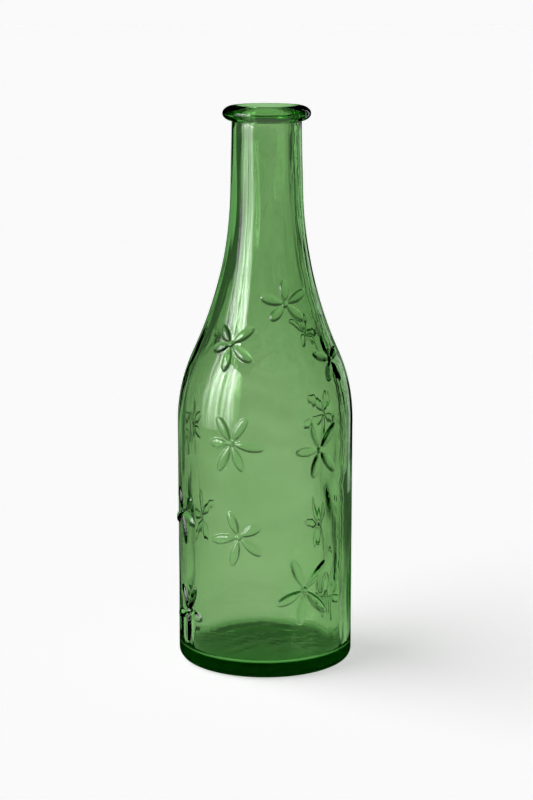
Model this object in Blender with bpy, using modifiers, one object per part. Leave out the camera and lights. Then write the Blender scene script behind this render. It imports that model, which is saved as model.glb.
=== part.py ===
"""Bottle-shaped bud vase in green moulded glass, with flowers in low relief.

The real vase is one piece of glass. It is modelled here as the masses of glass that a
glassmaker names: the blown wall, the lip ring tooled at its mouth, the thick base that it
stands on, and each flower that the mould raises from the wall. Nothing moves.

Frame: metres, +Z up, origin at the middle of the underside. Bearings are counted from the
front (-Y) towards +X, and heights from the surface that the vase stands on.
"""

import math

import bmesh
import bpy

MM = 0.001

# Driving dimensions, in millimetres and degrees.
HEIGHT = 255.0
BODY_RADIUS = 40.0
WALL = 3.5
FLOOR = 6.5
GAP = 0.3  # left between two masses that meet, so that their solids don't share a face

# Outline of the wall: straight body, round shoulder, hollow sweep, slightly tapered neck.
SHOULDER_START = 112.0
SHOULDER_CURVE = 77.0
SHOULDER_LEAN = 24.5
SWEEP_CURVE = 185.0
NECK_TAPER = 1.4
FLOOR_FILLET = 3.0  # the round between the floor and the inside of the wall

LIP_RADIUS = 19.9
LIP_HEIGHT = 7.2
LIP_CREST_RADIUS = 14.3  # where the ring is highest
MOUTH_ROUND = 2.2  # the round from the crest into the bore

HEEL_ROUND = 4.5
PUNT_RADIUS = 33.0  # the shallow hollow under the base
PUNT_RISE = 2.0

SEGMENTS = 48
PUNT_STEPS = 4
HEEL_STEPS = 4
SHOULDER_STEPS = 7
SWEEP_STEPS = 12
LIP_STEPS = 10
ROUND_STEPS = 3

PETAL_WIDTH = 4.6
PETAL_ROOT = 0.8  # how far from the flower's middle a petal starts
PETAL_POINT = 0.25  # how much a petal is drawn in towards its ends
RELIEF = 1.0  # how far a petal stands out of the wall
PETAL_SIDES = 10
PETAL_RINGS = 6
EYE_RADIUS = 1.9

# Each flower's bearing, height and petals. A petal is its direction on the wall, counted
# anticlockwise from level, and its reach from the flower's middle.
FLOWERS = [
    (20, 168.5, [(88, 11), (26, 12.5), (-43, 11.5), (-135, 10), (162, 11.5)]),
    (-31, 151, [(41, 12.5), (-33, 13.5), (-93, 12.5), (-161, 10), (132, 11)]),
    (58, 143, [(90, 11.5), (20, 11), (-64, 11.5), (-120, 11), (159, 10.5)]),
    (-22, 108.5, [(121, 13.5), (59, 14), (-8, 15), (-67, 13.5), (-116, 14.5), (-177, 11)]),
    (37, 104.5, [(107, 13.5), (47, 15), (-49, 14.5), (-105, 13), (-179, 12)]),
    (-69, 72, [(114, 12), (40, 12), (-20, 12), (-76, 15), (-150, 13)]),
    (-17, 66, [(113, 12), (29, 12), (-38, 13), (-103, 14), (-169, 14)]),
    (26, 41, [(112, 15.5), (45, 17), (-46, 16.5), (-98, 16), (-154, 14.5)]),
    (-61, 26.5, [(122, 13), (63, 14), (-11, 11), (-91, 14.5), (-160, 14)]),
    (136, 150, [(95, 11), (22, 12), (-50, 12), (-125, 11), (165, 11)]),
    (-130, 149, [(100, 11), (30, 12), (-42, 12), (-110, 12), (172, 11)]),
    (134, 109, [(100, 13), (38, 13), (-35, 13), (-96, 14), (-165, 12)]),
    (-114, 106, [(95, 13), (35, 13), (-30, 12), (-85, 14), (-145, 13), (160, 12)]),
    (130, 56, [(118, 14), (62, 14), (-8, 12), (-62, 14), (-122, 14)]),
    (-122, 61, [(88, 13), (20, 12), (-52, 14), (-118, 14), (155, 13)]),
    (124, 23, [(112, 13), (45, 13), (-25, 12), (-88, 12), (-155, 13)]),
]


def clear_scene():
    for old in list(bpy.data.objects):
        bpy.data.objects.remove(old)


def new_collection(name):
    collection = bpy.data.collections.new(name)
    bpy.context.scene.collection.children.link(collection)
    return collection


def glass(name, colour, roughness):
    """Clear coloured glass: a dielectric with the usual index of soda-lime glass."""
    material = bpy.data.materials.new(name)
    material.use_nodes = True
    shader = material.node_tree.nodes["Principled BSDF"]
    shader.inputs["Base Color"].default_value = (*colour, 1.0)
    shader.inputs["Roughness"].default_value = roughness
    shader.inputs["Metallic"].default_value = 0.0
    shader.inputs["IOR"].default_value = 1.52
    shader.inputs["Transmission Weight"].default_value = 1.0
    return material


def arc(centre, radii, start, end, steps):
    """Points (radius, height) on an ellipse's arc from start to end degrees, ends included."""
    points = []
    for i in range(steps + 1):
        angle = math.radians(start + (end - start) * i / steps)
        points.append(
            (centre[0] + radii[0] * math.cos(angle), centre[1] + radii[1] * math.sin(angle))
        )
    return points


def shoulder_centre():
    return BODY_RADIUS - SHOULDER_CURVE, SHOULDER_START


def sweep_centre():
    """The sweep's centre lies outside the bottle, in line with the shoulder's leaning end."""
    lean = math.radians(SHOULDER_LEAN)
    reach = SHOULDER_CURVE + SWEEP_CURVE
    r, z = shoulder_centre()
    return r + reach * math.cos(lean), z + reach * math.sin(lean)


def wall_side(inset, foot, top):
    """The wall's outline moved in by inset, from the height foot up to the height top."""
    r, z = shoulder_centre()
    shoulder = arc((r, z), (SHOULDER_CURVE - inset,) * 2, 0, SHOULDER_LEAN, SHOULDER_STEPS)
    sweep_radius = SWEEP_CURVE + inset
    sweep = arc(
        sweep_centre(), (sweep_radius,) * 2, 180 + SHOULDER_LEAN, 180 + NECK_TAPER, SWEEP_STEPS
    )
    neck_start = sweep[-1]
    narrowing = (top - neck_start[1]) * math.tan(math.radians(NECK_TAPER))
    mouth = (neck_start[0] - narrowing, top)
    return [(BODY_RADIUS - inset, foot)] + shoulder + sweep[1:] + [mouth]


def wall_place(height):
    """Radius of the wall's outside at a height, and how far it leans inwards, in radians."""
    outline = wall_side(0.0, 0.0, HEIGHT)
    for (r0, z0), (r1, z1) in zip(outline, outline[1:]):
        if z0 <= height <= z1:
            share = (height - z0) / (z1 - z0)
            return r0 + (r1 - r0) * share, math.atan2(r0 - r1, z1 - z0)
    raise ValueError(f"no wall at height {height}")


def turned(name, outline, closed, material, collection):
    """A solid of revolution about Z, from an outline of (radius, height) in millimetres.

    The outline runs down the outer side. An open one starts and ends on the axis.
    """
    mesh = bpy.data.meshes.new(name)
    count = len(outline)
    edges = [(i, i + 1) for i in range(count - 1)]
    if closed:
        edges.append((count - 1, 0))
    mesh.from_pydata([(r * MM, 0.0, z * MM) for r, z in outline], edges, [])
    if material:
        mesh.materials.append(material)
    solid = bpy.data.objects.new(name, mesh)
    collection.objects.link(solid)
    screw = solid.modifiers.new("turn", "SCREW")
    screw.steps = SEGMENTS
    screw.render_steps = SEGMENTS
    screw.use_smooth_shade = True
    screw.use_merge_vertices = True
    screw.merge_threshold = 0.00001
    return solid


def wall(material, collection):
    """The blown wall: body, shoulder and neck, open at both ends."""
    foot = FLOOR + GAP
    top = HEIGHT - LIP_HEIGHT - GAP
    outside = wall_side(0.0, foot, top)
    inner = wall_side(WALL, foot + FLOOR_FILLET, top)
    fillet_centre = (BODY_RADIUS - WALL - FLOOR_FILLET, foot + FLOOR_FILLET)
    fillet = arc(fillet_centre, (FLOOR_FILLET,) * 2, -90, 0, ROUND_STEPS)
    inside = fillet + inner[1:]
    return turned("bottle_wall", outside[::-1] + inside, True, material, collection)


def lip(material, collection):
    """The ring of glass round the mouth: fat and round outside, softly rounded into the bore."""
    bottom, middle = HEIGHT - LIP_HEIGHT, HEIGHT - LIP_HEIGHT / 2
    bore = LIP_CREST_RADIUS - MOUTH_ROUND
    bead = arc(
        (LIP_CREST_RADIUS, middle),
        (LIP_RADIUS - LIP_CREST_RADIUS, LIP_HEIGHT / 2),
        90,
        -90,
        LIP_STEPS,
    )
    mouth = arc(
        (LIP_CREST_RADIUS, HEIGHT - MOUTH_ROUND), (MOUTH_ROUND,) * 2, 180, 90, ROUND_STEPS
    )
    outline = bead + [(bore, bottom)] + mouth[:-1]
    return turned("lip_ring", outline, True, material, collection)


def base(material, collection):
    """The thick base: flat floor inside, round heel, standing ring and shallow punt."""
    heel = arc(
        (BODY_RADIUS - HEEL_ROUND, HEEL_ROUND), (HEEL_ROUND,) * 2, 0, -90, HEEL_STEPS
    )
    curve = (PUNT_RADIUS**2 + PUNT_RISE**2) / (2 * PUNT_RISE)
    edge = math.degrees(math.asin(PUNT_RADIUS / curve))
    punt = arc((0.0, PUNT_RISE - curve), (curve,) * 2, 90 - edge, 90, PUNT_STEPS)
    punt[-1] = (0.0, PUNT_RISE)
    outline = [(0.0, FLOOR), (BODY_RADIUS, FLOOR)] + heel + punt
    return turned("base", outline, False, material, collection)


def wrapped(bearing, height, across, up, out):
    """A point of a flower laid on the wall, in metres.

    The flower is drawn flat, across and up from its middle, and then wrapped round the wall:
    up follows the wall's slope, across follows its circle, out stands square to it.
    """
    _, lean = wall_place(height)
    z = height + up * math.cos(lean)
    radius, lean = wall_place(z)
    turn = math.radians(bearing) + across / radius
    reach = radius + out * math.cos(lean)
    return (
        reach * math.sin(turn) * MM,
        -reach * math.cos(turn) * MM,
        (z + out * math.sin(lean)) * MM,
    )


def pad(name, bearing, height, direction, middle, half_sizes, collection):
    """A flattened ball, drawn in to a soft point at both ends, and wrapped on the wall.

    Its middle lies the distance middle from the flower's middle, in the direction given.
    """
    ball = bmesh.new()
    bmesh.ops.create_uvsphere(
        ball, u_segments=PETAL_SIDES, v_segments=PETAL_RINGS, radius=1.0
    )
    long, wide, high = half_sizes
    cos, sin = math.cos(math.radians(direction)), math.sin(math.radians(direction))
    for vert in ball.verts:
        x = middle + long * vert.co.x
        y = wide * vert.co.y * (1 - PETAL_POINT * vert.co.x**2)
        across = x * cos - y * sin
        up = x * sin + y * cos
        vert.co = wrapped(bearing, height, across, up, high * vert.co.z)
    mesh = bpy.data.meshes.new(name)
    ball.to_mesh(mesh)
    ball.free()
    mesh.shade_smooth()
    piece = bpy.data.objects.new(name, mesh)
    collection.objects.link(piece)
    return piece


def flower(number, bearing, height, petals, envelope, material, parts, cutters):
    """One flower in relief: petals and an eye joined, then cut back to the wall's face."""
    name = f"flower_{number:02d}"
    eye_sizes = (EYE_RADIUS, EYE_RADIUS, RELIEF)
    eye = pad(name, bearing, height, 0, 0, eye_sizes, parts)
    eye.data.materials.append(material)
    group = bpy.data.collections.new(f"{name}_petals")
    cutters.children.link(group)
    for i, (direction, reach) in enumerate(petals):
        middle = (reach + PETAL_ROOT) / 2
        half_sizes = ((reach - PETAL_ROOT) / 2, PETAL_WIDTH / 2, RELIEF)
        label = f"{name}_petal_{i + 1}"
        hide(pad(label, bearing, height, direction, middle, half_sizes, group))
    join = eye.modifiers.new("join petals", "BOOLEAN")
    join.operation = "UNION"
    join.solver = "EXACT"
    join.operand_type = "COLLECTION"
    join.collection = group
    cut = eye.modifiers.new("cut back to the wall", "BOOLEAN")
    cut.operation = "DIFFERENCE"
    cut.solver = "EXACT"
    cut.object = envelope
    cut.use_self = True


def hide(cutter):
    cutter.hide_render = True
    cutter.display_type = "WIRE"


def main():
    clear_scene()
    parts = new_collection("bud_vase")
    cutters = new_collection("cutters")

    turned_glass = glass("green_glass", (0.16, 0.37, 0.13), 0.04)
    base_glass = glass("green_glass_base", (0.02, 0.13, 0.03), 0.04)
    lip_glass = glass("green_glass_lip", (0.07, 0.22, 0.07), 0.03)
    relief_glass = glass("green_glass_relief", (0.14, 0.35, 0.12), 0.04)

    wall(turned_glass, parts)
    lip(lip_glass, parts)
    base(base_glass, parts)

    outside = wall_side(-GAP, 0.0, HEIGHT)
    solid_of_wall = [(0.0, HEIGHT)] + outside[::-1] + [(0.0, 0.0)]
    envelope = turned("wall_envelope", solid_of_wall, False, None, cutters)
    hide(envelope)
    for number, (bearing, height, petals) in enumerate(FLOWERS, start=1):
        flower(number, bearing, height, petals, envelope, relief_glass, parts, cutters)


main()
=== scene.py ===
"""Bottle-shaped bud vase in green moulded glass, with flowers in low relief, on a white table.

The vase is one piece of glass, so it is one closed surface: up the outside from the middle
of the underside, over the lip, and down the inside to the middle of the floor. Each part of
the bottle below adds its stretch of that surface, in millimetres, and the last one makes the
mesh. Bearings are counted in radians from the front (-Y) towards +X.
"""

import math

import bpy
import numpy as np
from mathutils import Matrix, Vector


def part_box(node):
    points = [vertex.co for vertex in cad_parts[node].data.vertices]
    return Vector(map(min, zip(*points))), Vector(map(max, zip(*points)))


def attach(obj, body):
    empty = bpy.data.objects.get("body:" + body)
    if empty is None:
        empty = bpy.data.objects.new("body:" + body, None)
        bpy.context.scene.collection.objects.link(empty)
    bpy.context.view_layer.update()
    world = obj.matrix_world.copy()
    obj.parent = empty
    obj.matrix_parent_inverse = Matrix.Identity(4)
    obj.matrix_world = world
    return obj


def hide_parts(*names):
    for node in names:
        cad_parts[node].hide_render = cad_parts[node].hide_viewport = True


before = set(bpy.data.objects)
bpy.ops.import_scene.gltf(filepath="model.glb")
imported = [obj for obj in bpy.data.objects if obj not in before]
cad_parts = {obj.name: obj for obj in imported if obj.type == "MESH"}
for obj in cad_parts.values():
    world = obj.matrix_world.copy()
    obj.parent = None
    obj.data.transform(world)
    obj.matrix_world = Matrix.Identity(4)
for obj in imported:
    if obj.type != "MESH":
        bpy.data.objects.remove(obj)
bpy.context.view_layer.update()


# Base: a thick disc of glass at the bottom of the mould. It stands on a narrow ring round a
# shallow hollow, and its heel is round. The floor inside is where the gather of glass was
# cut off, so it is rippled, and a round leads from it up into the wall.

MM = 0.001
base_low, base_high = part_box("base")
BODY_RADIUS = base_high.x / MM
FLOOR = base_high.z / MM
WALL = 3.5
HOLLOW_RADIUS = 33.0
HOLLOW_RISE = 2.2
HEEL_ROUND = 4.5
FLOOR_ROUND = 3.2
# Each train of ripples: its far point's X and Y, the length of a wave, and its size.
RIPPLES = ((-60, 25, 7.5, 0.10), (45, -70, 11, 0.12), (20, 90, 5.2, 0.05))
RIPPLE_FADE = 8.0


def arc(centre, radii, start, end, points=41):
    """Points (radius, height) on an ellipse: its centre, plus its radii times the cosine and
    sine of an angle that runs evenly from start to end degrees."""
    angle = np.radians(np.linspace(start, end, points))
    return np.stack(
        [centre[0] + radii[0] * np.cos(angle), centre[1] + radii[1] * np.sin(angle)], axis=1
    )


def hollow(radius, rise, points=41):
    """Points from the axis out to radius, on a parabola that drops from rise to nothing."""
    r = np.linspace(0.0, radius, points)
    return np.stack([r, rise * (1.0 - (r / radius) ** 2)], axis=1)


underside = hollow(HOLLOW_RADIUS, HOLLOW_RISE)
heel = arc((BODY_RADIUS - HEEL_ROUND, HEEL_ROUND), (HEEL_ROUND,) * 2, -90, 0)
floor_round = arc(
    (BODY_RADIUS - WALL - FLOOR_ROUND, FLOOR + FLOOR_ROUND), (FLOOR_ROUND,) * 2, 0, -90
)


def floor_ripples(bearing, radius):
    """Height of the ripples on the floor: three trains of curved waves, each a sine of the
    distance from a far point, fading out over RIPPLE_FADE towards the wall."""
    x, y = radius * np.sin(bearing), -radius * np.cos(bearing)
    height = np.zeros_like(radius)
    for far_x, far_y, length, size in RIPPLES:
        away = np.hypot(x - far_x, y - far_y)
        height += size * np.sin(2 * np.pi * away / length)
    return height * np.clip((BODY_RADIUS - WALL - FLOOR_ROUND - radius) / RIPPLE_FADE, 0.0, 1.0)


# Body, shoulder and neck: the wall that was blown out against the mould. The body is
# straight, a round shoulder turns in, a long hollow sweep leads up into the neck, and the
# neck narrows a little to the lip.

SHOULDER_START = 112.0
SHOULDER_CURVE = 77.0
SHOULDER_LEAN = 24.5
SWEEP_CURVE = 185.0
NECK_TAPER = 1.4
NECK_EXTRA = 0.9  # how much thicker the neck's wall is than the body's
NECK_EXTRA_REACH = 70  # how far above the shoulder's start it gets as thick as that
NECK_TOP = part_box("bottle_wall")[1].z / MM


def wall_line(inset):
    """The wall's line from the heel up to the lip, moved in by inset.

    Two arcs that touch: one about a point inside the bottle for the shoulder, and one about
    a point outside it for the sweep, then a straight line at the neck's taper.
    """
    lean, taper = math.radians(SHOULDER_LEAN), math.radians(NECK_TAPER)
    inside = (BODY_RADIUS - SHOULDER_CURVE, SHOULDER_START)
    reach = SHOULDER_CURVE + SWEEP_CURVE
    outside = (inside[0] + reach * math.cos(lean), inside[1] + reach * math.sin(lean))
    shoulder = arc(inside, (SHOULDER_CURVE - inset,) * 2, 0, SHOULDER_LEAN)
    sweep = arc(outside, (SWEEP_CURVE + inset,) * 2, 180 + SHOULDER_LEAN, 180 + NECK_TAPER)
    top = sweep[-1] + np.array([-math.tan(taper), 1.0]) * (NECK_TOP - sweep[-1, 1])
    return shoulder, sweep, top


shoulder, sweep, neck_top = wall_line(0.0)
inner_shoulder, inner_sweep, inner_neck_top = wall_line(WALL)


def unevenness(bearing, height, waves):
    """A sum of sines: each wave has a whole number of turns round the bottle, a length up
    it in millimetres, a phase and a size."""
    total = np.zeros_like(bearing)
    for turns, length, phase, size in waves:
        total += size * np.sin(turns * bearing + 2 * np.pi * height / length + phase)
    return total


# The outside follows the mould closely, the inside is free and flows in long streaks.
OUTSIDE_WAVES = ((2, 190, 0.4, 0.06), (5, 74, 1.9, 0.035), (9, -52, 4.0, 0.02), (3, 31, 2.2, 0.015))
INSIDE_WAVES = (
    (1, 400, 5.5, 0.25),
    (3, -150, 0.8, 0.16),
    (6, 95, 2.9, 0.10),
    (11, -63, 1.1, 0.05),
    (19, 120, 3.7, 0.03),
)


# Runs of thicker glass down the inside of the body, two at the right and one at the left:
# bearing in degrees, size, width and phase.
RUNS_BOTTOM, RUNS_TOP = 10, 120
THICK_RUNS = ((48, 0.5, 3.4, 0.0), (57, 0.6, 3.6, 1.7), (-63, 0.42, 3.8, 2.0))


def thick_streaks(bearing, height):
    """How much the runs of thicker glass stand in from the wall: each is a bell curve of the
    way round from its middle, which wanders by two sines of the height. Its size swells by
    a third sine, and fades in over 12 mm at the bottom and out over 25 mm at the top."""
    total = np.zeros_like(bearing)
    for degrees, size, width, phase in THICK_RUNS:
        wander = 0.05 * np.sin(height / 9.0 + phase) + 0.03 * np.sin(height / 4.1 + 1.0 + phase)
        across = np.angle(np.exp(1j * (bearing - math.radians(degrees) - wander))) * BODY_RADIUS
        swell = 0.8 + 0.2 * np.sin(height / 6.3 + phase)
        total += size * swell * np.exp(-((across / width) ** 2))
    return total * np.clip((height - RUNS_BOTTOM) / 12, 0, 1) * np.clip((RUNS_TOP - height) / 25, 0, 1)


# Flowers: cut into the mould, so they stand out of the wall like smooth pads with steep
# sides. Each has 5 or 6 petals round a small eye, and each matches one node of the frame.
# They are listed as bearing in degrees, height, and then each petal's direction on the wall,
# counted anticlockwise from level, with its reach from the flower's middle.

FLOWERS = [
    (20, 168.5, [(88, 11), (26, 12.5), (-43, 11.5), (-135, 10), (162, 11.5)]),
    (-31, 151, [(41, 12.5), (-33, 13.5), (-93, 12.5), (-161, 10), (132, 11)]),
    (58, 143, [(90, 11.5), (20, 11), (-64, 11.5), (-120, 11), (159, 10.5)]),
    (-22, 108.5, [(121, 13.5), (59, 14), (-8, 15), (-67, 13.5), (-116, 14.5), (-177, 11)]),
    (37, 104.5, [(107, 13.5), (47, 15), (-49, 14.5), (-105, 13), (-179, 12)]),
    (-69, 72, [(114, 12), (40, 12), (-20, 12), (-76, 15), (-150, 13)]),
    (-17, 66, [(113, 12), (29, 12), (-38, 13), (-103, 14), (-169, 14)]),
    (26, 41, [(112, 15.5), (45, 17), (-46, 16.5), (-98, 16), (-154, 14.5)]),
    (-61, 26.5, [(122, 13), (63, 14), (-11, 11), (-91, 14.5), (-160, 14)]),
    (136, 150, [(95, 11), (22, 12), (-50, 12), (-125, 11), (165, 11)]),
    (-130, 149, [(100, 11), (30, 12), (-42, 12), (-110, 12), (172, 11)]),
    (134, 109, [(100, 13), (38, 13), (-35, 13), (-96, 14), (-165, 12)]),
    (-114, 106, [(95, 13), (35, 13), (-30, 12), (-85, 14), (-145, 13), (160, 12)]),
    (130, 56, [(118, 14), (62, 14), (-8, 12), (-62, 14), (-122, 14)]),
    (-122, 61, [(88, 13), (20, 12), (-52, 14), (-118, 14), (155, 13)]),
    (124, 23, [(112, 13), (45, 13), (-25, 12), (-88, 12), (-155, 13)]),
]
PETAL_ROOT = 1.3
PETAL_HALF_WIDTH = 2.15
PETAL_ROUNDNESS = 2.6
PETAL_SKEW = 0.18  # how much wider a petal is towards its tip
FLOWER_REACH = 20  # no flower reaches as far as this from its middle
RELIEF = 1.1
EYE_RADIUS = 1.5


def in_oval(x, y, long, wide, skew):
    """An oval's own radius, 1 at its edge, and the distance inside that edge in millimetres.

    The oval's half width is wide times 1 + skew t - t squared / 5 at t = x / long, and never
    under 0.3 of wide. The distance is 1 less its own radius, over how fast that radius grows.
    """
    t = x / long
    half = wide * (1.0 + skew * t - 0.2 * t**2)
    half = np.maximum(half, 0.3 * wide)
    own = np.sqrt(t**2 + (y / half) ** 2) + 1e-6
    growth = np.sqrt((x / long**2) ** 2 + (y / half**2) ** 2) / own + 1e-6
    return own, (1.0 - own) / growth


def step(value, low, high):
    """0 below low, 1 above high, and 3 t squared - 2 t cubed between them."""
    t = np.clip((value - low) / (high - low), 0.0, 1.0)
    return t * t * (3.0 - 2.0 * t)


def flower_relief(bearing, radius, along, place_of):
    """How far the flowers lift the wall, and how near each point is to one of their edges.

    Every petal is an oval laid flat on the wall: across is the turn times the radius, up is
    the way along the outline. Its lift is the square root of 1 less its own radius raised to
    PETAL_ROUNDNESS, so it is domed, with sides that stand square to the wall.
    """
    lift = np.zeros_like(bearing)
    nearest = np.full_like(bearing, 1e3)
    for degrees, height, petals in FLOWERS:
        across = np.angle(np.exp(1j * (bearing - math.radians(degrees)))) * radius
        up = along - place_of(height)
        near = np.flatnonzero((np.abs(across) < FLOWER_REACH) & (np.abs(up) < FLOWER_REACH))
        x, y = across[near], up[near]
        ovals = [(0.0, 0.0, EYE_RADIUS, EYE_RADIUS, 0.0, 0.0)]
        for direction, reach in petals:
            long = (reach - PETAL_ROOT) / 2
            angle = math.radians(direction)
            middle = PETAL_ROOT + long
            place = middle * math.cos(angle), middle * math.sin(angle)
            ovals.append((*place, long, PETAL_HALF_WIDTH, angle, PETAL_SKEW))
        for middle_x, middle_y, long, wide, angle, skew in ovals:
            dx, dy = x - middle_x, y - middle_y
            turned_x = dx * math.cos(angle) + dy * math.sin(angle)
            turned_y = dy * math.cos(angle) - dx * math.sin(angle)
            own, depth = in_oval(turned_x, turned_y, long, wide, skew)
            pad = RELIEF * np.sqrt(1.0 - np.minimum(own, 1.0) ** PETAL_ROUNDNESS)
            lift[near] = np.maximum(lift[near], pad)
            nearest[near] = np.minimum(nearest[near], np.abs(depth))
    return lift, nearest


# Lip: a ring of glass laid round the mouth and pressed to shape while hot. It is fatter than
# it is high, it overhangs the neck with a fine groove between them, and a round leads over
# its crest into the bore.

lip_low, lip_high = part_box("lip_ring")
HEIGHT = lip_high.z / MM
LIP_RADIUS = lip_high.x / MM
LIP_HALF = 3.6
LIP_CREST = 14.3
MOUTH_ROUND = 2.2
GROOVE_IN, GROOVE_UP = 0.25, 0.35
LIP_OVERHANG = 0.4  # how far outside the neck the ring starts
NECK_LEAN = 0.7  # how far the neck stands over to +X
NECK_LEAN_BELOW = 60  # how far below the neck's top it has come all the way over

lip_middle = HEIGHT - LIP_HALF
groove = np.array([neck_top, [neck_top[0] - GROOVE_IN, neck_top[1] + GROOVE_UP]])
lip_start = math.acos((neck_top[0] + LIP_OVERHANG - LIP_CREST) / (LIP_RADIUS - LIP_CREST))
lip_start = math.degrees(lip_start)
lip = arc((LIP_CREST, lip_middle), (LIP_RADIUS - LIP_CREST, LIP_HALF), -lip_start, 90)
mouth = arc((LIP_CREST, HEIGHT - MOUTH_ROUND), (MOUTH_ROUND,) * 2, 90, 180)


# The whole surface: the stretches are joined end to end and rows are spread along them. A
# grid of columns and rows then carries the glass, with four cells in place of one, each way,
# wherever the edge of a petal runs.

COLUMNS = 160
FINER = 4
EDGE_REACH = 0.75  # a cell this near to the edge of a petal, in millimetres, is a fine one
UNEVEN_FADE = 6  # unevenness fades out over this length at each end of the wall
stretches = [
    (underside, 9),
    (np.array([underside[-1], heel[0]]), 2),
    (heel, 8),
    (np.array([heel[-1], shoulder[0]]), 68),
    (shoulder, 21),
    (sweep[:26], 30),
    (sweep[25:], 16),
    (np.array([sweep[-1], neck_top]), 12),
    (groove, 1),
    (np.array([groove[-1], lip[0]]), 1),
    (lip, 20),
    (mouth, 6),
    (np.array([mouth[-1], inner_neck_top]), 3),
    (np.array([inner_neck_top, inner_sweep[-1]]), 10),
    (inner_sweep[::-1], 24),
    (inner_shoulder[::-1], 12),
    (np.array([inner_shoulder[0], floor_round[0]]), 34),
    (floor_round, 6),
    (np.array([floor_round[-1], [0.0, FLOOR]]), 20),
]


def joined(stretches):
    """The outline as one fine line, its length so far at each point, and the rows' lengths.

    Rows are spread evenly over each stretch by the number given with it.
    """
    line, rows, ends = [stretches[0][0][:1]], [np.zeros(1)], [0.0]
    for points, count in stretches:
        size = np.hypot(*np.diff(points, axis=0).T)
        length = size.sum()
        fine = max(int(length / 0.25), 3)
        at = np.concatenate([[0.0], np.cumsum(size)])
        spots = np.linspace(0.0, length, fine + 1)[1:]
        line.append(np.stack([np.interp(spots, at, points[:, i]) for i in (0, 1)], axis=1))
        rows.append(ends[-1] + np.linspace(0.0, length, count + 1)[1:])
        ends.append(ends[-1] + length)
    line = np.concatenate(line)
    along = np.concatenate([[0.0], np.cumsum(np.hypot(*np.diff(line, axis=0).T))])
    return line, along * ends[-1] / along[-1], np.concatenate(rows), np.array(ends)


line, line_along, rows, ends = joined(stretches)
OUTSIDE = ends[2], ends[8]
FLAT_FLOOR = ends[-2]
INSIDE = ends[13], ends[-2]

slope = np.gradient(line, line_along, axis=0)
slope /= np.hypot(*slope.T)[:, None]


def line_at(along):
    """Radius, height and outward normal of the outline, a given length along it."""
    r, z = (np.interp(along, line_along, line[:, i]) for i in (0, 1))
    out_r = np.interp(along, line_along, slope[:, 1])
    out_z = -np.interp(along, line_along, slope[:, 0])
    size = np.hypot(out_r, out_z)
    return r, z, out_r / size, out_z / size


outer = (line_along >= OUTSIDE[0]) & (line_along <= OUTSIDE[1])


def place_of(height):
    """Length along the outline at which the outside reaches a height."""
    return np.interp(height, line[outer, 1], line_along[outer])


def glass_surface(bearing, along):
    """Points of the glass in millimetres: the outline turned to the bearing, moved along its
    normal by flowers and unevenness, and leaned over by NECK_LEAN above the shoulder."""
    r, z, out_r, out_z = line_at(along)
    outside = (along >= OUTSIDE[0]) & (along <= OUTSIDE[1])
    inside = (along >= INSIDE[0]) & (along <= INSIDE[1])
    fade_out, fade_in = (
        np.clip((along - start) / UNEVEN_FADE, 0, 1) * np.clip((end - along) / UNEVEN_FADE, 0, 1)
        for start, end in (OUTSIDE, INSIDE)
    )
    lift, nearest = flower_relief(bearing, np.maximum(r, 1.0), along, place_of)
    move = np.where(outside, lift + fade_out * unevenness(bearing, z, OUTSIDE_WAVES), 0.0)
    thickness = unevenness(bearing, z, INSIDE_WAVES) + thick_streaks(bearing, z)
    thickness += NECK_EXTRA * step(z, SHOULDER_START, SHOULDER_START + NECK_EXTRA_REACH)
    move += np.where(inside, fade_in * thickness, 0.0)
    move += np.where(along > FLAT_FLOOR, floor_ripples(bearing, r), 0.0)
    r, z = r + out_r * move, z + out_z * move
    lean = NECK_LEAN * step(z, SHOULDER_START, NECK_TOP - NECK_LEAN_BELOW)
    x, y = r * np.sin(bearing) + lean, -r * np.cos(bearing)
    nearest = np.where(outside, nearest, 1e3)
    return np.stack([x, y, z], axis=1), nearest


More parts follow.
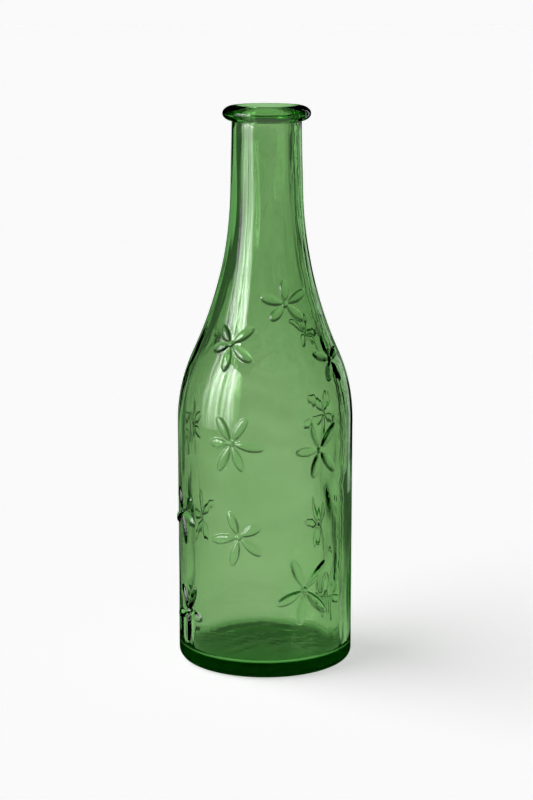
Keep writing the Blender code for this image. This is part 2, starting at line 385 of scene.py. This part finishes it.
def grid_with_finer_cells(rows, fine):
    """Faces of a grid that closes round the bottle, and the lattice points that they use.

    The lattice has FINER steps to a cell. A fine cell is FINER squared small quads. Any
    other cell is its four corners, with the lattice points on each side that it shares with
    a fine cell added to that side. The first and last rows close on one point each.
    """
    count = len(rows) - 1
    width, tall = COLUMNS * FINER, count * FINER
    row, column = np.indices((count, COLUMNS))
    row, column = row.ravel() * FINER, column.ravel() * FINER
    is_fine = fine.ravel()

    def point(up, over):
        over = np.where((up == 0) | (up == tall), 0, over % width)
        return up * width + over

    sizes, corners = [], []
    up, over = np.indices((FINER, FINER)).reshape(2, -1)
    up = (row[is_fine][:, None] + up).ravel()
    over = (column[is_fine][:, None] + over).ravel()
    quads = np.stack(
        [point(up, over), point(up, over + 1), point(up + 1, over + 1), point(up + 1, over)], axis=1
    )
    corners.append(quads.ravel())
    sizes.append(np.full(len(quads), 4))

    below, above = np.roll(fine, 1, 0), np.roll(fine, -1, 0)
    after, before = np.roll(fine, -1, 1), np.roll(fine, 1, 1)
    sides = [side.ravel() for side in (below, after, above, before)]
    pattern = sum(side.astype(int) << i for i, side in enumerate(sides))
    pole = (row == 0) | (row == tall - FINER)
    steps = np.arange(FINER)
    for shape in range(16):
        cells = ~is_fine & (pattern == shape) & ~pole
        if not cells.any():
            continue
        way = [steps if shape >> i & 1 else steps[:1] for i in range(4)]
        zero = [np.zeros(len(w), int) for w in way]
        up = np.concatenate([zero[0], way[1], zero[2] + FINER, FINER - way[3]])
        over = np.concatenate([way[0], zero[1] + FINER, FINER - way[2], zero[3]])
        faces = point(row[cells][:, None] + up, column[cells][:, None] + over)
        corners.append(faces.ravel())
        sizes.append(np.full(len(faces), faces.shape[1]))
    overs = (0, FINER, 0)
    for first, ups in ((0, (0, FINER, FINER)), (tall - FINER, (0, 0, FINER))):
        cells = row == first
        faces = [point(first + up, column[cells] + over) for up, over in zip(ups, overs)]
        faces = np.stack(faces, axis=1)
        corners.append(faces.ravel())
        sizes.append(np.full(len(faces), 3))
    corners, sizes = np.concatenate(corners), np.concatenate(sizes)
    used, corners = np.unique(corners, return_inverse=True)
    return used // width, used % width, corners.ravel(), sizes


def mesh_of(name, points, corners, sizes):
    """A mesh with the points given in millimetres, and faces of the sizes given, whose
    corners follow each other in one array."""
    mesh = bpy.data.meshes.new(name)
    mesh.vertices.add(len(points))
    mesh.vertices.foreach_set("co", (points * MM).astype(np.float32).ravel())
    mesh.loops.add(len(corners))
    mesh.loops.foreach_set("vertex_index", corners.astype(np.int32))
    mesh.polygons.add(len(sizes))
    starts = np.concatenate([[0], np.cumsum(sizes)[:-1]])
    mesh.polygons.foreach_set("loop_start", starts.astype(np.int32))
    mesh.update(calc_edges=True)
    mesh.validate()
    mesh.shade_smooth()
    return mesh


def cells_by_an_edge():
    """Which cells an edge of a flower crosses: those where any of 9 points spread over the
    cell lies within EDGE_REACH of one."""
    found = np.zeros((len(rows) - 1, COLUMNS), bool)
    for part in (0.0, 0.5, 1.0):
        along = rows[:-1] + np.diff(rows) * part
        for over in (0.0, 0.5, 1.0):
            bearing = (np.arange(COLUMNS) + over) * 2 * np.pi / COLUMNS
            b, a = np.meshgrid(bearing, along)
            _, nearest = glass_surface(b.ravel(), a.ravel())
            found |= nearest.reshape(found.shape) < EDGE_REACH
    return found


lattice_row, lattice_column, corners, sizes = grid_with_finer_cells(rows, cells_by_an_edge())
bearing = lattice_column * 2 * np.pi / (COLUMNS * FINER)
along = np.interp(lattice_row / FINER, np.arange(len(rows)), rows)
points, _ = glass_surface(bearing, along)
vase = bpy.data.objects.new("glass_vase", mesh_of("glass_vase", points, corners, sizes))
bpy.context.scene.collection.objects.link(vase)


def linear(code):
    """A hex colour, as sRGB, turned to the linear numbers that shaders take."""
    srgb = np.array([int(code[i : i + 2], 16) for i in (0, 2, 4)]) / 255
    values = np.where(srgb <= 0.04045, srgb / 12.92, ((srgb + 0.055) / 1.055) ** 2.4)
    return (*[float(v) for v in values], 1.0)


def node(tree, kind, settings, *sources):
    """Adds a node. Settings are its own by name, or an input's by name or number, and the
    sources are linked to its inputs in order."""
    added = tree.nodes.new(kind)
    for key, value in settings.items():
        if isinstance(key, str) and hasattr(added, key):
            setattr(added, key, value)
        else:
            added.inputs[key].default_value = value
    for socket, source in zip(added.inputs, sources):
        tree.links.new(source.outputs[0] if hasattr(source, "outputs") else source, socket)
    return added


# Green soda-lime glass, coloured with iron. The eye gets a mid green wall, a dark green
# heel and lip where light travels far in the glass, upright streaks drawn out as it was
# blown, a raised seam up each side where the mould opens, and a foot that is ground dull.
# Real glass is coloured by its depth alone. Here part of the colour is on the surface, so
# that the thin wall is green enough while the thick heel isn't black.
glass = bpy.data.materials.new("green_soda_glass_blown_in_mould")
glass.use_nodes = True
tree = glass.node_tree
shader = tree.nodes["Principled BSDF"]
shader.inputs["Base Color"].default_value = linear("DDE1D2")
shader.inputs["IOR"].default_value = 1.52
shader.inputs["Transmission Weight"].default_value = 1.0
place = node(tree, "ShaderNodeTexCoord", {}).outputs["Object"]
part = node(tree, "ShaderNodeSeparateXYZ", {}, place).outputs

# Foot: dull up to 1.5 mm from the table and clear from 3 mm.
foot = node(
    tree,
    "ShaderNodeMapRange",
    {"From Min": 0.0015, "From Max": 0.003, "To Min": 0.45, "To Max": 0.0},
    part["Z"],
)
tree.links.new(foot.outputs["Result"], shader.inputs["Roughness"])

# Streaks: about 3.6 mm wide and 83 mm long. Seams: they fade out 1.4 mm to each side of their
# middle on the body, half way round from each other, where the sine of the bearing less the
# seam's is nearly nothing, and they wander a little. Both are drawn coarser than real ones.
SEAM_BEARING = 61.0
drawn = node(tree, "ShaderNodeMapping", {"Scale": (280.0, 280.0, 12.0)}, place)
streaks = node(tree, "ShaderNodeTexNoise", {"Scale": 1.0, "Detail": 1.0}, drawn)
back = node(tree, "ShaderNodeMath", {"operation": "MULTIPLY", 1: -1.0}, part["Y"])
turn = node(tree, "ShaderNodeMath", {"operation": "ARCTAN2"}, part["X"], back)
wander = node(tree, "ShaderNodeTexNoise", {"noise_dimensions": "1D", "Scale": 160.0})
tree.links.new(part["Z"], wander.inputs["W"])
shift = {"operation": "MULTIPLY_ADD", 1: 0.08, 2: -math.radians(SEAM_BEARING) - 0.04}
off = node(tree, "ShaderNodeMath", shift, wander)
apart = node(tree, "ShaderNodeMath", {"operation": "ADD"}, turn, off)
apart = node(tree, "ShaderNodeMath", {"operation": "SINE"}, apart)
apart = node(tree, "ShaderNodeMath", {"operation": "ABSOLUTE"}, apart)
seam = node(
    tree,
    "ShaderNodeMapRange",
    {"interpolation_type": "SMOOTHSTEP", "From Max": 0.035, "To Min": 1.0, "To Max": 0.0},
    apart,
)
skin = node(tree, "ShaderNodeMath", {"operation": "ADD"}, streaks, seam)
bump = node(tree, "ShaderNodeBump", {"Strength": 1.0, "Distance": 0.0001})
tree.links.new(skin.outputs["Value"], bump.inputs["Height"])
tree.links.new(bump.outputs["Normal"], shader.inputs["Normal"])

body_colour = node(tree, "ShaderNodeVolumeAbsorption", {"Color": linear("52DD00"), "Density": 120.0})
tree.links.new(body_colour.outputs["Volume"], tree.nodes["Material Output"].inputs["Volume"])
vase.data.materials.append(glass)

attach(vase, "root")
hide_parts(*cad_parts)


# Table and light: a wide white table with a white wall far behind it, a tall softbox at the
# left, a narrow one behind at the right, and a key light from the left. The light is staged:
# the table and far wall show to the camera and not in the glass, mirror bounces off the glass
# meet only the softboxes, and through it are the softboxes, a second disc and the world.

TABLE_RADIUS = 10.0
RIM_POINTS = 128
SIDE_LIGHT = 0.18
FRONT_LIGHT = 0.75
CEILING_LIGHT = 0.16


def disc(name, height, radius):
    """A flat disc that faces up: its rim is the cosine and sine of an even turn."""
    turn = np.linspace(0, 2 * np.pi, RIM_POINTS + 1)[:-1]
    rim = np.stack([np.cos(turn), np.sin(turn), np.zeros(RIM_POINTS)], axis=1) * radius
    rim[:, 2] = height
    flat = bpy.data.objects.new(name, bpy.data.meshes.new(name))
    flat.data.from_pydata(rim.tolist(), [], [list(range(RIM_POINTS))])
    bpy.context.scene.collection.objects.link(flat)
    return flat


table = disc("table_top", -0.0002, TABLE_RADIUS)
table.visible_glossy = False
table.visible_transmission = False
acrylic = bpy.data.materials.new("white_acrylic_lit_from_below")
acrylic.use_nodes = True
shader = acrylic.node_tree.nodes["Principled BSDF"]
shader.inputs["Base Color"].default_value = linear("E7E7E7")
shader.inputs["Roughness"].default_value = 1.0
shader.inputs["Specular IOR Level"].default_value = 0.0
shader.inputs["Emission Color"].default_value = (1.0, 1.0, 1.0, 1.0)
shader.inputs["Emission Strength"].default_value = 0.594
table.data.materials.append(acrylic)


def light_cloth(name):
    """A material that only shines, with its strength still to be linked."""
    cloth = bpy.data.materials.new(name)
    cloth.use_nodes = True
    tree = cloth.node_tree
    tree.nodes.remove(tree.nodes["Principled BSDF"])
    shine = node(tree, "ShaderNodeEmission", {})
    tree.links.new(shine.outputs["Emission"], tree.nodes["Material Output"].inputs["Surface"])
    return cloth, tree, shine.inputs["Strength"]


def share_of_light(tree, vector):
    """1 behind the vase and a little to its left, SIDE_LIGHT at the sides and FRONT_LIGHT
    in front, by the cosine of the angle from behind."""
    unit = node(tree, "ShaderNodeVectorMath", {"operation": "NORMALIZE"}, vector)
    cosine = node(
        tree, "ShaderNodeVectorMath", {"operation": "DOT_PRODUCT", 1: (-0.07, 0.9976, 0.0)}, unit
    )
    cosine = cosine.outputs["Value"]
    behind = {"From Min": 0.8, "From Max": 0.94, "To Min": SIDE_LIGHT}
    front = {"From Min": 0.2, "From Max": -0.5, "To Min": SIDE_LIGHT, "To Max": FRONT_LIGHT}
    behind, front = (
        node(tree, "ShaderNodeMapRange", {"interpolation_type": "SMOOTHSTEP", **shape}, cosine)
        for shape in (behind, front)
    )
    return node(tree, "ShaderNodeMath", {"operation": "MAXIMUM"}, behind, front)


def product(tree, *factors):
    """The factors multiplied together."""
    total = factors[0]
    for factor in factors[1:]:
        total = node(tree, "ShaderNodeMath", {"operation": "MULTIPLY"}, total, factor)
    return total


# What the glass looks through to: a second disc just under the table, which nothing but light
# through the glass meets. It is bright near the vase and behind it, dimmer at the sides, and
# has a painted shadow under the vase itself, dark and green.
glow = disc("table_glow", -0.0003, TABLE_RADIUS)
for kind in ("camera", "glossy", "diffuse", "shadow"):
    setattr(glow, "visible_" + kind, False)
cloth, tree, strength = light_cloth("light_of_the_table")
place = node(tree, "ShaderNodeTexCoord", {}).outputs["Object"]
reach = node(tree, "ShaderNodeVectorMath", {"operation": "LENGTH"}, place).outputs["Value"]
far = {"From Min": 0.3, "From Max": 1.3, "To Min": 0.97, "To Max": 0.78}
near = {"From Min": 0.08, "From Max": 0.3, "To Min": 1.0, "To Max": 0.0}
# Mask of the painted shadow under the vase: 0 within 30 mm of its middle, 1 beyond 46 mm.
under = {"From Min": 0.03, "From Max": 0.046}
far, near, under = (node(tree, "ShaderNodeMapRange", s, reach) for s in (far, near, under))
share = node(tree, "ShaderNodeMath", {"operation": "MAXIMUM"}, share_of_light(tree, place), near)
uneven = node(tree, "ShaderNodeTexNoise", {"Scale": 9.0, "Detail": 2.0}, place)
patches = node(
    tree,
    "ShaderNodeMapRange",
    {"From Min": 0.3, "From Max": 0.7, "To Min": 0.9, "To Max": 1.1},
    uneven,
)
tree.links.new(product(tree, share, far, patches).outputs[0], strength)
# Painted shadow under the vase: the disc is painted dark there, and green to stand in for light that
# has come down through the glass to the table.
green_painted_shadow = node(tree, "ShaderNodeMix", {"data_type": "RGBA", 6: linear("65A062"), 7: (1.0,) * 4}, under)
tree.links.new(green_painted_shadow.outputs[2], strength.node.inputs["Color"])
glow.data.materials.append(cloth)

# The white wall that closes the view in low pictures: a ring that stands round the table, a
# little inside its edge and with its foot below the top, so that no gap shows.
FAR_WALL_RADIUS = 9.8
FAR_WALL_FOOT = 0.05
turn = np.linspace(0, 2 * np.pi, RIM_POINTS + 1)[:-1]
ring = np.stack([np.cos(turn), np.sin(turn), np.zeros(RIM_POINTS)], axis=1) * FAR_WALL_RADIUS
ring = np.concatenate([ring - (0.0, 0.0, FAR_WALL_FOOT), ring + (0.0, 0.0, TABLE_RADIUS)])
this = np.arange(RIM_POINTS)
after = (this + 1) % RIM_POINTS
sides = np.stack([after, this, this + RIM_POINTS, after + RIM_POINTS], axis=1)
far_wall = bpy.data.objects.new("far_wall", bpy.data.meshes.new("far_wall"))
far_wall.data.from_pydata(ring.tolist(), [], sides.tolist())
for kind in ("glossy", "diffuse", "transmission", "shadow"):
    setattr(far_wall, "visible_" + kind, False)
cloth, tree, strength = light_cloth("white_wall_paint_lit")
strength.default_value = 0.955
far_wall.data.materials.append(cloth)
bpy.context.scene.collection.objects.link(far_wall)

world = bpy.data.worlds.new("white_wall_and_dim_ceiling")
world.use_nodes = True
tree = world.node_tree
place = node(tree, "ShaderNodeTexCoord", {}).outputs["Generated"]
height = node(tree, "ShaderNodeSeparateXYZ", {}, place).outputs["Z"]
fade = node(
    tree,
    "ShaderNodeMapRange",
    {"From Min": 0.0, "From Max": 0.22, "To Min": 0.5, "To Max": 0.05},
    height,
)
wall_light = product(tree, share_of_light(tree, place), fade)
ceiling = node(tree, "ShaderNodeMath", {"operation": "MAXIMUM", 1: CEILING_LIGHT}, wall_light)
tree.links.new(ceiling.outputs["Value"], tree.nodes["Background"].inputs["Strength"])
tree.nodes["Background"].inputs["Color"].default_value = (1.0, 1.0, 1.0, 1.0)
world.cycles_visibility.diffuse = False
world.cycles_visibility.glossy = False
bpy.context.scene.world = world


def softbox(name, bearing, distance, bottom, width, height, radiance, dim):
    """An upright panel that shines at the vase and shows only in the glass.

    It has its full radiance in its top quarter and the dim share of it at the bottom, fades
    towards its sides, and has upright folds from noise of the way across.
    """
    turn = math.radians(bearing)
    across = np.array([math.cos(turn), math.sin(turn), 0.0]) * width / 2
    middle = np.array([math.sin(turn), -math.cos(turn), 0.0]) * distance
    corners = np.stack([middle - across, middle + across, middle + across, middle - across])
    corners[:, 2] = bottom, bottom, bottom + height, bottom + height
    panel = bpy.data.objects.new(name, bpy.data.meshes.new(name))
    panel.data.from_pydata(corners.tolist(), [], [(0, 1, 2, 3)])
    panel.data.uv_layers.new(name="panel")
    panel.data.uv_layers["panel"].data.foreach_set("uv", [0.0, 0.0, 1.0, 0.0, 1.0, 1.0, 0.0, 1.0])
    for kind in ("camera", "diffuse", "shadow"):
        setattr(panel, "visible_" + kind, False)
    cloth, tree, strength = light_cloth(name + "_cloth")
    uv = node(tree, "ShaderNodeTexCoord", {}).outputs["UV"]
    part = node(tree, "ShaderNodeSeparateXYZ", {}, uv).outputs
    hung = node(tree, "ShaderNodeCombineXYZ", {}, part["X"])
    folds = node(tree, "ShaderNodeTexNoise", {"Scale": 11.0, "Detail": 2.0}, hung)
    soft = "SMOOTHSTEP"
    rise = {"From Max": 0.75, "To Min": radiance * dim, "To Max": radiance}
    left = {"From Max": 0.4, "interpolation_type": soft}
    right = {"From Min": 1.0, "From Max": 0.8, "interpolation_type": soft}
    depth = {"From Min": 0.38, "From Max": 0.6, "To Min": 0.12, "To Max": 1.25}
    parts = ((rise, part["Y"]), (left, part["X"]), (right, part["X"]), (depth, folds))
    parts = [node(tree, "ShaderNodeMapRange", shape, source) for shape, source in parts]
    tree.links.new(product(tree, *parts).outputs[0], strength)
    panel.data.materials.append(cloth)
    bpy.context.scene.collection.objects.link(panel)


softbox("softbox_left", -66, 1.0, -0.05, 1.1, 0.78, 12.0, 0.14)
softbox("softbox_right", 140, 0.35, 0.0, 0.1, 0.5, 1.1, 1.0)

key = bpy.data.lights.new("key_light", "SUN")
key.energy = 2.2
key.angle = math.radians(75)
lamp = bpy.data.objects.new("key_light", key)
lamp.rotation_euler = (0, math.radians(-50), math.radians(6))
lamp.visible_glossy = False
lamp.visible_transmission = False
bpy.context.scene.collection.objects.link(lamp)

camera = bpy.data.objects.new("camera", bpy.data.cameras.new("camera"))
camera.data.lens = 100.8
camera.data.sensor_width = 36.0
camera.location = (0.0006, -1.006, 0.320)
camera.rotation_euler = (math.radians(90 - 11.2), 0, 0)
bpy.context.scene.collection.objects.link(camera)
bpy.context.scene.camera = camera

scene = bpy.context.scene
scene.view_settings.view_transform = "Standard"
scene.cycles.max_bounces = 32
scene.cycles.transmission_bounces = 32
